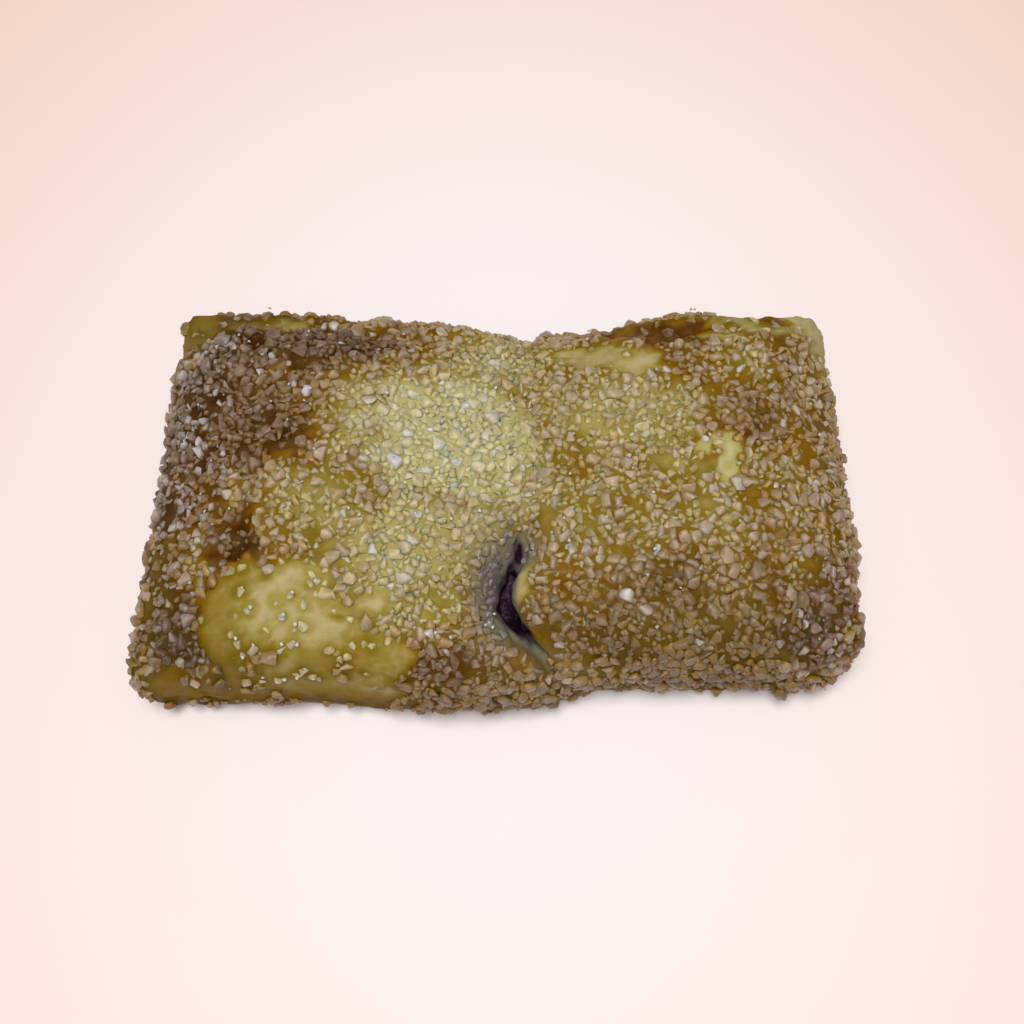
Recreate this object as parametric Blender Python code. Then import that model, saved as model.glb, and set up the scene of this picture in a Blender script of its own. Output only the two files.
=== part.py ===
"""Sugared puff pastry pocket with a berry filling, for Blender 4.5.

A sheet of puff pastry is folded over a berry filling from both ends. The right flap lies on the left
one along a seam that crosses the top, and towards the front the seam gapes, so that the filling shows
under the right flap's lip. Coarse sugar is baked onto the crust. The pocket rests on a flat base.

Metres, +Z up, origin under the middle of the pocket at its base. +X runs along the pocket, the
seam's gape faces -Y.
"""

import math
import random

import bmesh
import bpy
from mathutils import Matrix, Vector, noise

MM = 0.001

# Crust, without its sugar
LEFT_REACH = 57.8 * MM  # from the origin to the left end, at mid depth
RIGHT_REACH = 58.1 * MM
LEFT_FLARE = 1.3 * MM  # the left end widens this much towards the front
RIGHT_FLARE = 0.7 * MM
BACK_REACH = 31.0 * MM  # at the pinched middle of the back edge
BACK_EARS = 5.4 * MM  # how much further the back corners stand out
FRONT_REACH = 33.9 * MM
FRONT_STEP = 2.3 * MM  # the right half is this much shorter in front
FRONT_BELLY = 1.5 * MM
WIDEST_Z = 11.5 * MM
CROWN_Z = 25.0 * MM
LEFT_LOBE = 2.6 * MM
RIGHT_LOBE = 3.6 * MM
BASE_DEPTH = 12.1 * MM  # deeper than WIDEST_Z, so that the underside is cut flat
FRONT_CORNERS = 12.0  # powers of the rounded outline: higher is squarer
BACK_CORNERS = 20.0
SHOULDERS = 3.1
HEEL = 7.0

# Seam between the two flaps
SEAM_X = 6.0 * MM
SEAM_SWAY = 4.1 * MM  # the lip swells to the left over the gape
GAPE_Y = -22.5 * MM
BACK_SWAY = 8.0 * MM
FRONT_SWAY = 5.2 * MM
FRONT_LEAN = 0.42  # the seam runs to the right as it comes down the front
FOLD_HALF = 7.0 * MM  # half the width of the folded band
FOLD_STEPS = 10
VALLEY_WIDTH = 9.0 * MM

# Hollow and filling
END_WALL = 9.0 * MM
SIDE_WALL = 7.5 * MM
HOLLOW_MID_Z = 12.0 * MM
HOLLOW_TOP_Z = 18.6 * MM
HOLLOW_FLOOR_Z = 5.0 * MM
CLEARANCE = 0.4 * MM

# Sugar
GRAIN_COUNT = 190
GRAIN_SIZE = (1.7 * MM, 2.9 * MM)
GRAIN_SPACING = 4.3 * MM
GRAIN_LOWEST_Z = 5.0 * MM
FOLD_CLEAR = 3.6 * MM  # no sugar this close to the seam
SEED = 7


def smooth(start, end, x):
    """0 before start, 1 after end and an S curve between them; start may be the larger."""
    t = min(1.0, max(0.0, (x - start) / (end - start)))
    return t * t * (3 - 2 * t)


def hump(x, y, at_x, at_y, wide, deep):
    return math.exp(-(((x - at_x) / wide) ** 2) - ((y - at_y) / deep) ** 2)


def between(keys, share):
    """The value at share, from 0 to 1, along a list of evenly spaced keys."""
    place = min(max(share, 0.0), 1.0) * (len(keys) - 1)
    low = min(int(place), len(keys) - 2)
    return keys[low] + (keys[low + 1] - keys[low]) * (place - low)


def rounded(a, b, c, up_power, down_power):
    """A point of the unit cube's skin, drawn in onto a rounded box."""
    plan_power = BACK_CORNERS if b > 0 else FRONT_CORNERS
    steep = up_power if c > 0 else down_power
    plan = (abs(a) ** plan_power + abs(b) ** plan_power) ** (steep / plan_power)
    shrink = (plan + abs(c) ** steep) ** (-1 / steep)
    return a * shrink, b * shrink, c * shrink


def outline(u, v, end_wall=0.0, side_wall=0.0):
    """Where the rounded box's u and v, from -1 to 1, lie in plan, this far inside the crust."""
    left = LEFT_REACH - LEFT_FLARE * v - end_wall
    right = RIGHT_REACH - RIGHT_FLARE * v - end_wall
    back = BACK_REACH + BACK_EARS * abs(u - 0.06) ** 1.6 - side_wall
    front = FRONT_REACH - FRONT_STEP * smooth(-0.05, 0.2, u) - side_wall
    front += FRONT_BELLY * math.exp(-(((u + 0.17) / 0.2) ** 2))
    return u * (right if u > 0 else left), v * (back if v > 0 else front)


def seam_x(y, z):
    lean = FRONT_LEAN * max(0.0, 21 * MM - z) * smooth(-25 * MM, -33 * MM, y)
    length = BACK_SWAY if y > GAPE_Y else FRONT_SWAY
    return SEAM_X - SEAM_SWAY * math.exp(-(((y - GAPE_Y) / length) ** 2)) + lean


def gape(y, z):
    """How far the seam stands open, from 0, closed, to 1."""
    opening = 0.3 * smooth(-9 * MM, -14 * MM, y) + 0.7 * smooth(-17 * MM, -21 * MM, y)
    opening *= 1 - 0.7 * smooth(-27 * MM, -32 * MM, y)
    return opening * smooth(8 * MM, 16 * MM, z)


def crown(x, y):
    """Height of the dough's top before the rounding at its edges."""
    from_seam = x - seam_x(y, CROWN_Z)
    top = CROWN_Z
    top += LEFT_LOBE * hump(x, y, -30 * MM, -4 * MM, 26 * MM, 30 * MM)
    top += RIGHT_LOBE * hump(x, y, 33 * MM, -2 * MM, 24 * MM, 30 * MM)
    valley = 1.6 * MM + 2.2 * MM * smooth(5 * MM, 30 * MM, y) + 2.6 * MM * smooth(-8 * MM, -22 * MM, y)
    top -= valley * math.exp(-((from_seam / VALLEY_WIDTH) ** 2))
    top -= 1.8 * MM * hump(x, y, -4 * MM, -23 * MM, 8 * MM, 8 * MM)
    top += 1.2 * MM * hump(x, y, 8 * MM, -20 * MM, 6 * MM, 8 * MM)
    return top


def ears(x, y):
    """The back corners are thin folded ears, and the front ones are pressed in a little."""
    back = smooth(22 * MM, 34 * MM, y) * smooth(38 * MM, 56 * MM, abs(x))
    front = hump(x, y, -50 * MM, -28 * MM, 6 * MM, 5 * MM) + hump(x, y, 52 * MM, -26 * MM, 6 * MM, 5 * MM)
    return 3.5 * MM * back + 1.6 * MM * front


def folds(x, y):
    """Rolled rim along the back edge, with a crease in front of it."""
    crease_y = 27.5 * MM + 1.6 * MM * math.sin(x / (9 * MM)) + 4.5 * MM * smooth(25 * MM, 55 * MM, abs(x))
    rim = math.exp(-(((y - crease_y - 2.6 * MM) / (1.8 * MM)) ** 2))
    crease = math.exp(-(((y - crease_y) / (1.5 * MM)) ** 2))
    return (0.7 * MM * rim - 1.0 * MM * crease) * smooth(2 * MM, 10 * MM, abs(x - 4 * MM))


def lumps(x, y, z):
    """The uneven swell of baked dough."""
    wide = noise.noise(Vector((x, y, z)) / (21 * MM) + Vector((3.1, 0.4, 7.7)))
    close = noise.noise(Vector((x, y, z)) / (8 * MM) + Vector((0.9, 5.2, 1.3)))
    return 1.3 * MM * wide + 0.55 * MM * close


# Section of the fold, from its left edge to its right one, in mm: across, then out of the surface.
CLOSED_ACROSS = (-7.0, -5.4, -3.9, -2.6, -1.5, -0.6, 0.1, 0.8, 1.7, 3.6, 7.0)
CLOSED_OUT = (0.0, -0.2, -0.5, -0.8, -1.0, -1.0, -0.6, 0.1, 0.5, 0.4, 0.0)
OPEN_ACROSS = (-7.0, -5.0, -3.7, -2.7, -1.5, 1.0, 1.9, 0.7, -0.1, 1.7, 7.0)
OPEN_OUT = (0.0, -0.4, -0.9, -1.6, -4.3, -6.4, -4.4, -2.6, -1.0, 0.8, 0.0)


def crust_point(a, b, c):
    """A point of the unit cube's skin, carried onto the crust."""
    u, v, w = rounded(a, b, c, SHOULDERS, HEEL)
    x, y = outline(u, v)
    from_seam = x - SEAM_X
    if abs(a) < 1:
        seam_u, seam_v, _ = rounded(SEAM_X / RIGHT_REACH, b, c, SHOULDERS, HEEL)
        from_seam = x - outline(seam_u, seam_v)[0]
    z = WIDEST_Z + w * BASE_DEPTH
    if w > 0:
        rough_top = WIDEST_Z + w * (CROWN_Z - WIDEST_Z)
        z = WIDEST_Z + w * (crown(seam_x(y, rough_top) + from_seam, y) - ears(x, y) - WIDEST_Z)

    # The columns beside the seam follow it, and those further off stay where they are.
    follow = 1 - smooth(FOLD_HALF, 28 * MM, abs(from_seam))
    x += (seam_x(y, z) - (x - from_seam)) * follow

    # Which way is out, in the plane across the pocket's length
    out = Vector((0, v * abs(v) ** (SHOULDERS - 2) / FRONT_REACH, w * abs(w) ** (SHOULDERS - 2) / WIDEST_Z))
    out.normalize()
    rise = lumps(x, y, z) * smooth(0.0, 6 * MM, z) + folds(x, y) * smooth(0.2, 0.6, w)
    if abs(from_seam) < FOLD_HALF:
        share = (from_seam / FOLD_HALF + 1) / 2
        opened = gape(y, z)
        across = between(CLOSED_ACROSS, share) * (1 - opened) + between(OPEN_ACROSS, share) * opened
        depth = between(CLOSED_OUT, share) * (1 - opened) + between(OPEN_OUT, share) * opened
        shown = smooth(2 * MM, 13 * MM, z)
        x += (across * MM - from_seam) * shown
        rise += depth * MM * shown
    y += out.y * rise
    z += out.z * rise
    return Vector((x, y, max(0.0, z)))


def hollow_point(a, b, c, clearance=0.0):
    """A point of the unit cube's skin, carried onto the hollow, or onto what fills it."""
    u, v, w = rounded(a, b, c, 3.4, 4.0)
    x, y = outline(u, v, END_WALL + clearance, SIDE_WALL + clearance)
    reach = HOLLOW_TOP_Z - HOLLOW_MID_Z if w > 0 else HOLLOW_MID_Z - HOLLOW_FLOOR_Z
    return Vector((x, y, HOLLOW_MID_Z + w * (reach - clearance)))


def eased(start, end, count, ease_start, ease_end):
    """Stations from start up to end, without end, closing up at the ends that are eased."""
    stations = []
    for step in range(count):
        t = step / count
        curved = t
        if ease_start and ease_end:
            curved = (1 - math.cos(math.pi * t)) / 2
        elif ease_start:
            curved = 1 - math.cos(math.pi * t / 2)
        elif ease_end:
            curved = math.sin(math.pi * t / 2)
        stations.append(start + (end - start) * (0.45 * t + 0.55 * curved))
    return stations


def crust_stations():
    seam_a = SEAM_X / RIGHT_REACH
    half = FOLD_HALF / RIGHT_REACH
    across = eased(-1, seam_a - half, 14, True, False)
    across += [seam_a - half + 2 * half * step / FOLD_STEPS for step in range(FOLD_STEPS)]
    across += eased(seam_a + half, 1, 12, False, True)
    along = eased(-1, 1, 24, True, True)
    up = eased(-1, 1, 6, False, False)
    return across[1:], along[1:], up[1:]


def sliced_cube(across, along, up):
    """A cube from -1 to 1 with edge loops at these stations along X, Y and Z."""
    bm = bmesh.new()
    bmesh.ops.create_cube(bm, size=2)
    for axis, stations in enumerate((across, along, up)):
        normal = Vector((0, 0, 0))
        normal[axis] = 1
        for station in stations:
            everything = bm.verts[:] + bm.edges[:] + bm.faces[:]
            bmesh.ops.bisect_plane(bm, geom=everything, dist=1e-6, plane_co=normal * station, plane_no=normal)
    return bm


def add_object(name, bm, collection):
    """Triangles keep the bent faces the same for every Boolean."""
    bmesh.ops.triangulate(bm, faces=bm.faces)
    mesh = bpy.data.meshes.new(name)
    bm.to_mesh(mesh)
    bm.free()
    obj = bpy.data.objects.new(name, mesh)
    collection.objects.link(obj)
    return obj


def shaped_cube(name, stations, place, collection):
    """A sliced cube whose points are each carried to place(a, b, c), shaded smooth."""
    bm = sliced_cube(*stations)
    for vert in bm.verts:
        vert.co = place(*vert.co)
    underside = [f for f in bm.faces if all(vert.co.z < 1e-6 for vert in f.verts)]
    if underside:
        bmesh.ops.dissolve_faces(bm, faces=underside)
    bmesh.ops.recalc_face_normals(bm, faces=bm.faces)
    obj = add_object(name, bm, collection)
    obj.data.shade_smooth()
    obj.data.set_sharp_from_angle(angle=math.radians(40))
    return obj


def finish(name, color, roughness):
    material = bpy.data.materials.new(name)
    material.use_nodes = True
    shader = material.node_tree.nodes["Principled BSDF"]
    shader.inputs["Base Color"].default_value = (*color, 1)
    shader.inputs["Roughness"].default_value = roughness
    return material


def apply_boolean(obj, operation, solver="EXACT", cutter=None, joined=None):
    """Cuts cutter from obj, or joins all that the collection holds, and applies it."""
    boolean = obj.modifiers.new("cut", "BOOLEAN")
    boolean.operation = operation
    boolean.solver = solver
    if joined:
        boolean.operand_type = "COLLECTION"
        boolean.collection = joined
    else:
        boolean.object = cutter
    bpy.context.view_layer.update()
    evaluated = obj.evaluated_get(bpy.context.evaluated_depsgraph_get())
    result = bpy.data.meshes.new_from_object(evaluated)
    obj.modifiers.clear()
    obj.data = result
    for used in list(joined.objects) if joined else [cutter]:
        bpy.data.objects.remove(used)


def bare(x, y, z):
    """The smooth patches of dough that sugar leaves free, the seam and the gape."""
    patches = (
        (-36 * MM, -23 * MM, 13 * MM, 5 * MM),
        (20 * MM, 24 * MM, 9 * MM, 3 * MM),
        (36 * MM, 1 * MM, 4 * MM, 5 * MM),
        (-50 * MM, 33 * MM, 6 * MM, 4 * MM),
        (53 * MM, 33 * MM, 6 * MM, 4 * MM),
        (3 * MM, -21 * MM, 7 * MM, 12 * MM),
    )
    if abs(x - seam_x(y, z)) < FOLD_CLEAR:
        return True
    return any(((x - px) / wide) ** 2 + ((y - py) / deep) ** 2 < 1 for px, py, wide, deep in patches)


def scatter_grains(crust, rng):
    """Places for the sugar: random faces by their area, each spot kept clear of those before it."""
    faces = [f for f in crust.data.polygons if f.normal.z > -0.3 and f.center.z > GRAIN_LOWEST_Z]
    areas = [f.area for f in faces]
    spots = []
    for face in rng.choices(faces, areas, k=40 * GRAIN_COUNT):
        corners = [crust.data.vertices[i].co for i in face.vertices]
        weights = [rng.random() for _ in corners]
        spot = sum((corner * weight for corner, weight in zip(corners, weights)), Vector()) / sum(weights)
        if bare(*spot) or spot.z < GRAIN_LOWEST_Z:
            continue
        if any((spot - other).length < GRAIN_SPACING for other, _ in spots):
            continue
        spots.append((spot, face.normal.copy()))
        if len(spots) == GRAIN_COUNT:
            break
    return spots


def add_grain(spot, normal, rng, collection):
    """One crystal: a cube knocked out of square, half sunk in the crust."""
    bm = bmesh.new()
    size = rng.uniform(*GRAIN_SIZE)
    bmesh.ops.create_cube(bm, size=size)
    for vert in bm.verts:
        vert.co *= rng.uniform(0.75, 1.15)
    turn = Vector((0, 0, 1)).rotation_difference(normal).to_matrix().to_4x4()
    spin = Matrix.Rotation(rng.uniform(0, math.tau), 4, (rng.random(), rng.random(), 1))
    bm.transform(Matrix.Translation(spot + normal * size * 0.08) @ turn @ spin)
    return add_object("grain", bm, collection)


def main():
    for obj in list(bpy.data.objects):
        bpy.data.objects.remove(obj)
    scene = bpy.context.scene.collection
    pastry_collection = bpy.data.collections.new("puff pastry pocket")
    grains = bpy.data.collections.new("sugar grains")
    scene.children.link(pastry_collection)
    scene.children.link(grains)

    crust = shaped_cube("pastry", crust_stations(), crust_point, pastry_collection)
    rng = random.Random(SEED)
    spots = scatter_grains(crust, rng)

    inner = (eased(-1, 1, 14, True, True)[1:], eased(-1, 1, 10, True, True)[1:], (-0.4, 0.4))
    hollow = shaped_cube("hollow", inner, hollow_point, grains)
    apply_boolean(crust, "DIFFERENCE", cutter=hollow)
    for spot, normal in spots:
        add_grain(spot, normal, rng, grains)
    apply_boolean(crust, "UNION", solver="MANIFOLD", joined=grains)
    crust.data.materials.clear()
    crust.data.materials.append(finish("baked crust", (0.40, 0.26, 0.085), 0.5))

    filling = shaped_cube(
        "filling", inner, lambda a, b, c: hollow_point(a, b, c, CLEARANCE), pastry_collection
    )
    filling.data.materials.append(finish("berry filling", (0.035, 0.012, 0.03), 0.2))


main()
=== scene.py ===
import itertools
import math
import random

import bmesh
import bpy
import numpy as np
from mathutils import Matrix, Vector, kdtree, noise


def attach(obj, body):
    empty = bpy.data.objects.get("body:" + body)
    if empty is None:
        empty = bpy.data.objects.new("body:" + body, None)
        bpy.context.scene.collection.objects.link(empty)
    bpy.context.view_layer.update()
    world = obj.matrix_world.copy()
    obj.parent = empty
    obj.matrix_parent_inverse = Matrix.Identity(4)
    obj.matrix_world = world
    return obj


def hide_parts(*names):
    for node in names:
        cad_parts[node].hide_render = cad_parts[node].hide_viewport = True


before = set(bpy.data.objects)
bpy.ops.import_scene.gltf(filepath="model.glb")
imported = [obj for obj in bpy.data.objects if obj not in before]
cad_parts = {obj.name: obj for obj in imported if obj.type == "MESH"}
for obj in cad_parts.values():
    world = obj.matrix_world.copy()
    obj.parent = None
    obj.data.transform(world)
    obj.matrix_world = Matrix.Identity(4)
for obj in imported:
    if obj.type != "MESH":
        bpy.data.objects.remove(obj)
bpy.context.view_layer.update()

# Sugared puff pastry pocket with a berry filling. All shape values are in millimetres and are made
# metres where the mesh is written.
mm = 0.001

dough = {
    "leftReach": 57.8,  # from the origin to the left end, at mid depth
    "rightReach": 58.1,
    "leftFlare": 1.3,  # the left end widens towards the front
    "rightFlare": 0.7,
    "backReach": 31.0,  # at the pinched middle of the back edge
    "backEars": 5.4,  # how much further the back corners stand out
    "frontReach": 33.9,
    "frontStep": 2.3,  # the right half is this much shorter in front
    "frontBelly": 1.5,
    "widestZ": 11.5,
    "crownZ": 25.0,
    "leftLobe": 2.6,
    "rightLobe": 3.6,
    "baseDepth": 12.1,  # deeper than widestZ, so the underside is flat
    "frontCorners": 12.0,  # higher is squarer
    "backCorners": 20.0,
    "shoulders": 3.1,
    "heel": 7.0,
    "valley": (1.6, 2.2, 2.6),  # depth in the middle, then how much deeper at the back and in front
    "backDrop": 3.5,  # how far the back corners are pinched down
    "frontDrop": 1.6,
    "foldRim": 0.7,
    "foldCrease": 1.0,
    "wideLumps": 1.3,
    "closeLumps": 0.55,
    "finer": 4,  # extra cuts in each cell of the cage
}
seam = {
    "x": 6.0,
    "sway": 4.1,  # the lip swells to the left over the gape
    "gapeY": -22.5,
    "backSway": 8.0,
    "frontSway": 5.2,
    "frontLean": 0.42,
    "half": 7.0,  # half the width of the folded band
    "steps": 10,
    "valleyWidth": 9.0,
    # section of the fold from left to right: across, then out of the surface
    "closedAcross": (-7.0, -5.4, -3.9, -2.6, -1.5, -0.6, 0.1, 0.8, 1.7, 3.6, 7.0),
    "closedOut": (0.0, -0.2, -0.5, -0.8, -1.0, -1.0, -0.6, 0.1, 0.5, 0.4, 0.0),
    "openAcross": (-7.0, -5.0, -3.7, -2.7, -1.5, 1.0, 1.9, 0.7, -0.1, 1.7, 7.0),
    "openOut": (0.0, -0.4, -0.9, -1.6, -4.3, -6.4, -4.4, -2.6, -1.0, 0.8, 0.0),
}
hollow = {
    "endWall": 9.0,
    "sideWall": 7.5,
    "midZ": 12.0,
    "topZ": 18.6,
    "floorZ": 5.0,
    "clearance": 0.4,
}


def smooth(start, end, x):
    # works on numbers and on arrays; start may be the larger
    t = np.clip((x - start) / (end - start), 0.0, 1.0)
    return t * t * (3 - 2 * t)


def ramp(start, end, x):
    t = min(1.0, max(0.0, (x - start) / (end - start)))
    return t * t * (3 - 2 * t)


def hump(x, y, atX, atY, wide, deep):
    return math.exp(-(((x - atX) / wide) ** 2) - ((y - atY) / deep) ** 2)


def humpOver(x, y, atX, atY, wide, deep):
    # the same for arrays
    return np.exp(-(((x - atX) / wide) ** 2) - ((y - atY) / deep) ** 2)


def curveThrough(keys, share):
    # smooth curve through evenly spaced keys
    place = min(max(share, 0.0), 1.0) * (len(keys) - 1)
    low = min(int(place), len(keys) - 2)
    t = place - low
    a, b = keys[low], keys[low + 1]
    before = keys[max(low - 1, 0)]
    after = keys[min(low + 2, len(keys) - 1)]
    inSlope, outSlope = (b - before) / 2, (after - a) / 2
    return (
        a * (2 * t**3 - 3 * t**2 + 1)
        + inSlope * (t**3 - 2 * t**2 + t)
        + b * (3 * t**2 - 2 * t**3)
        + outSlope * (t**3 - t**2)
    )


def roundedBox(a, b, c, upPower, downPower):
    planPower = dough["backCorners"] if b > 0 else dough["frontCorners"]
    steep = upPower if c > 0 else downPower
    plan = (abs(a) ** planPower + abs(b) ** planPower) ** (steep / planPower)
    shrink = (plan + abs(c) ** steep) ** (-1 / steep)
    return a * shrink, b * shrink, c * shrink


def outline(u, v, endWall=0.0, sideWall=0.0):
    left = dough["leftReach"] - dough["leftFlare"] * v - endWall
    right = dough["rightReach"] - dough["rightFlare"] * v - endWall
    back = dough["backReach"] + dough["backEars"] * abs(u - 0.06) ** 1.6 - sideWall
    front = dough["frontReach"] - dough["frontStep"] * ramp(-0.05, 0.2, u) - sideWall
    front += dough["frontBelly"] * math.exp(-(((u + 0.17) / 0.2) ** 2))
    return u * (right if u > 0 else left), v * (back if v > 0 else front)


def seamX(y, z):
    lean = seam["frontLean"] * max(0.0, 21 - z) * ramp(-25, -33, y)
    length = seam["backSway"] if y > seam["gapeY"] else seam["frontSway"]
    return seam["x"] - seam["sway"] * math.exp(-(((y - seam["gapeY"]) / length) ** 2)) + lean


def gape(y, z):
    opening = (0.3 * ramp(-9, -14, y) + 0.7 * ramp(-17, -21, y)) * (1 - 0.7 * ramp(-27, -32, y))
    return opening * ramp(8, 16, z)


def crown(x, y):
    fromSeam = x - seamX(y, dough["crownZ"])
    top = dough["crownZ"]
    top += dough["leftLobe"] * hump(x, y, -30, -4, 26, 30)
    top += dough["rightLobe"] * hump(x, y, 33, -2, 24, 30)
    middle, atBack, inFront = dough["valley"]
    valley = middle + atBack * ramp(5, 30, y) + inFront * ramp(-8, -22, y)
    top -= valley * math.exp(-((fromSeam / seam["valleyWidth"]) ** 2))
    top -= 1.8 * hump(x, y, -4, -23, 8, 8)
    top += 1.2 * hump(x, y, 8, -20, 6, 8)
    return top


def ears(x, y):
    back = ramp(22, 34, y) * ramp(38, 56, abs(x))
    front = hump(x, y, -50, -28, 6, 5) + hump(x, y, 52, -26, 6, 5)
    return dough["backDrop"] * back + dough["frontDrop"] * front


def backFolds(x, y):
    creaseY = 27.5 + 1.6 * math.sin(x / 9) + 4.5 * ramp(25, 55, abs(x))
    rim = math.exp(-(((y - creaseY - 2.6) / 1.8) ** 2))
    crease = math.exp(-(((y - creaseY) / 1.5) ** 2))
    return (dough["foldRim"] * rim - dough["foldCrease"] * crease) * ramp(2, 10, abs(x - 4))


def lumps(x, y, z):
    wide = noise.noise(Vector((x, y, z)) / 21 + Vector((3.1, 0.4, 7.7)))
    close = noise.noise(Vector((x, y, z)) / 8 + Vector((0.9, 5.2, 1.3)))
    return dough["wideLumps"] * wide + dough["closeLumps"] * close


def crustPoint(a, b, c):
    u, v, w = roundedBox(a, b, c, dough["shoulders"], dough["heel"])
    x, y = outline(u, v)
    fromSeam = x - seam["x"]
    if abs(a) < 1:
        seamShare = seam["x"] / dough["rightReach"]
        seamU, seamV, _ = roundedBox(seamShare, b, c, dough["shoulders"], dough["heel"])
        fromSeam = x - outline(seamU, seamV)[0]
    z = dough["widestZ"] + w * dough["baseDepth"]
    if w > 0:
        roughTop = dough["widestZ"] + w * (dough["crownZ"] - dough["widestZ"])
        top = crown(seamX(y, roughTop) + fromSeam, y) - ears(x, y)
        z = dough["widestZ"] + w * (top - dough["widestZ"])
    follow = 1 - ramp(seam["half"], 28, abs(fromSeam))
    x += (seamX(y, z) - (x - fromSeam)) * follow
    bend = dough["shoulders"] - 2
    out = Vector((0, v * abs(v) ** bend / dough["frontReach"], w * abs(w) ** bend / dough["widestZ"]))
    out.normalize()
    rise = lumps(x, y, z) * ramp(0.0, 6, z) + backFolds(x, y) * ramp(0.2, 0.6, w)
    if abs(fromSeam) < seam["half"]:
        share = (fromSeam / seam["half"] + 1) / 2
        opened = gape(y, z)
        across = curveThrough(seam["closedAcross"], share) * (1 - opened)
        across += curveThrough(seam["openAcross"], share) * opened
        depth = curveThrough(seam["closedOut"], share) * (1 - opened)
        depth += curveThrough(seam["openOut"], share) * opened
        shown = ramp(2, 13, z)
        x += (across - fromSeam) * shown
        rise += depth * shown
    y += out.y * rise
    z += out.z * rise
    return Vector((x, y, max(0.0, z)))


def hollowPoint(a, b, c, clearance=0.0):
    u, v, w = roundedBox(a, b, c, 3.4, 4.0)
    x, y = outline(u, v, hollow["endWall"] + clearance, hollow["sideWall"] + clearance)
    reach = hollow["topZ"] - hollow["midZ"] if w > 0 else hollow["midZ"] - hollow["floorZ"]
    return Vector((x, y, hollow["midZ"] + w * (reach - clearance)))


def eased(start, end, count, easeStart, easeEnd):
    stations = []
    for step in range(count):
        t = step / count
        curved = t
        if easeStart and easeEnd:
            curved = (1 - math.cos(math.pi * t)) / 2
        elif easeStart:
            curved = 1 - math.cos(math.pi * t / 2)
        elif easeEnd:
            curved = math.sin(math.pi * t / 2)
        stations.append(start + (end - start) * (0.45 * t + 0.55 * curved))
    return stations


def slicedCube(across, along, up, cuts):
    bm = bmesh.new()
    bmesh.ops.create_cube(bm, size=2)
    for axis, stations in enumerate((across, along, up)):
        normal = Vector((0, 0, 0))
        normal[axis] = 1
        for station in stations:
            everything = bm.verts[:] + bm.edges[:] + bm.faces[:]
            bmesh.ops.bisect_plane(bm, geom=everything, dist=1e-6, plane_co=normal * station, plane_no=normal)
    if cuts:
        bmesh.ops.subdivide_edges(bm, edges=bm.edges[:], cuts=cuts, use_grid_fill=True)
    return bm


def addObject(name, data):
    obj = bpy.data.objects.new(name, data)
    bpy.context.scene.collection.objects.link(obj)
    return obj


def meshObject(name, bm):
    bmesh.ops.recalc_face_normals(bm, faces=bm.faces)
    bmesh.ops.triangulate(bm, faces=bm.faces)
    mesh = bpy.data.meshes.new(name)
    bm.to_mesh(mesh)
    bm.free()
    mesh.transform(Matrix.Scale(mm, 4))
    return addObject(name, mesh)


def cutAway(obj, cutter):
    boolean = obj.modifiers.new("cut", "BOOLEAN")
    boolean.operation = "DIFFERENCE"
    boolean.solver = "MANIFOLD"
    boolean.object = cutter
    bpy.context.view_layer.update()
    result = bpy.data.meshes.new_from_object(obj.evaluated_get(bpy.context.evaluated_depsgraph_get()))
    obj.modifiers.clear()
    obj.data = result
    bpy.data.objects.remove(cutter)


def coordsOf(mesh):
    flat = np.empty(len(mesh.vertices) * 3, np.float32)
    mesh.vertices.foreach_get("co", flat)
    return flat.reshape(-1, 3).astype(float) / mm


def normalsOf(mesh):
    flat = np.empty(len(mesh.vertices) * 3, np.float32)
    mesh.vertex_normals.foreach_get("vector", flat)
    return flat.reshape(-1, 3).astype(float)


def moveTo(mesh, coords):
    mesh.vertices.foreach_set("co", (coords * mm).astype(np.float32).ravel())
    mesh.update()


def floatAttribute(mesh, name, values):
    attribute = mesh.attributes.new(name, "FLOAT", "POINT")
    attribute.data.foreach_set("value", np.asarray(values, np.float32))


def colorAttribute(mesh, name, colors):
    attribute = mesh.attributes.new(name, "FLOAT_COLOR", "POINT")
    rgba = np.ones((len(colors), 4), np.float32)
    rgba[:, : colors.shape[1]] = colors
    attribute.data.foreach_set("color", rgba.ravel())


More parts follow.
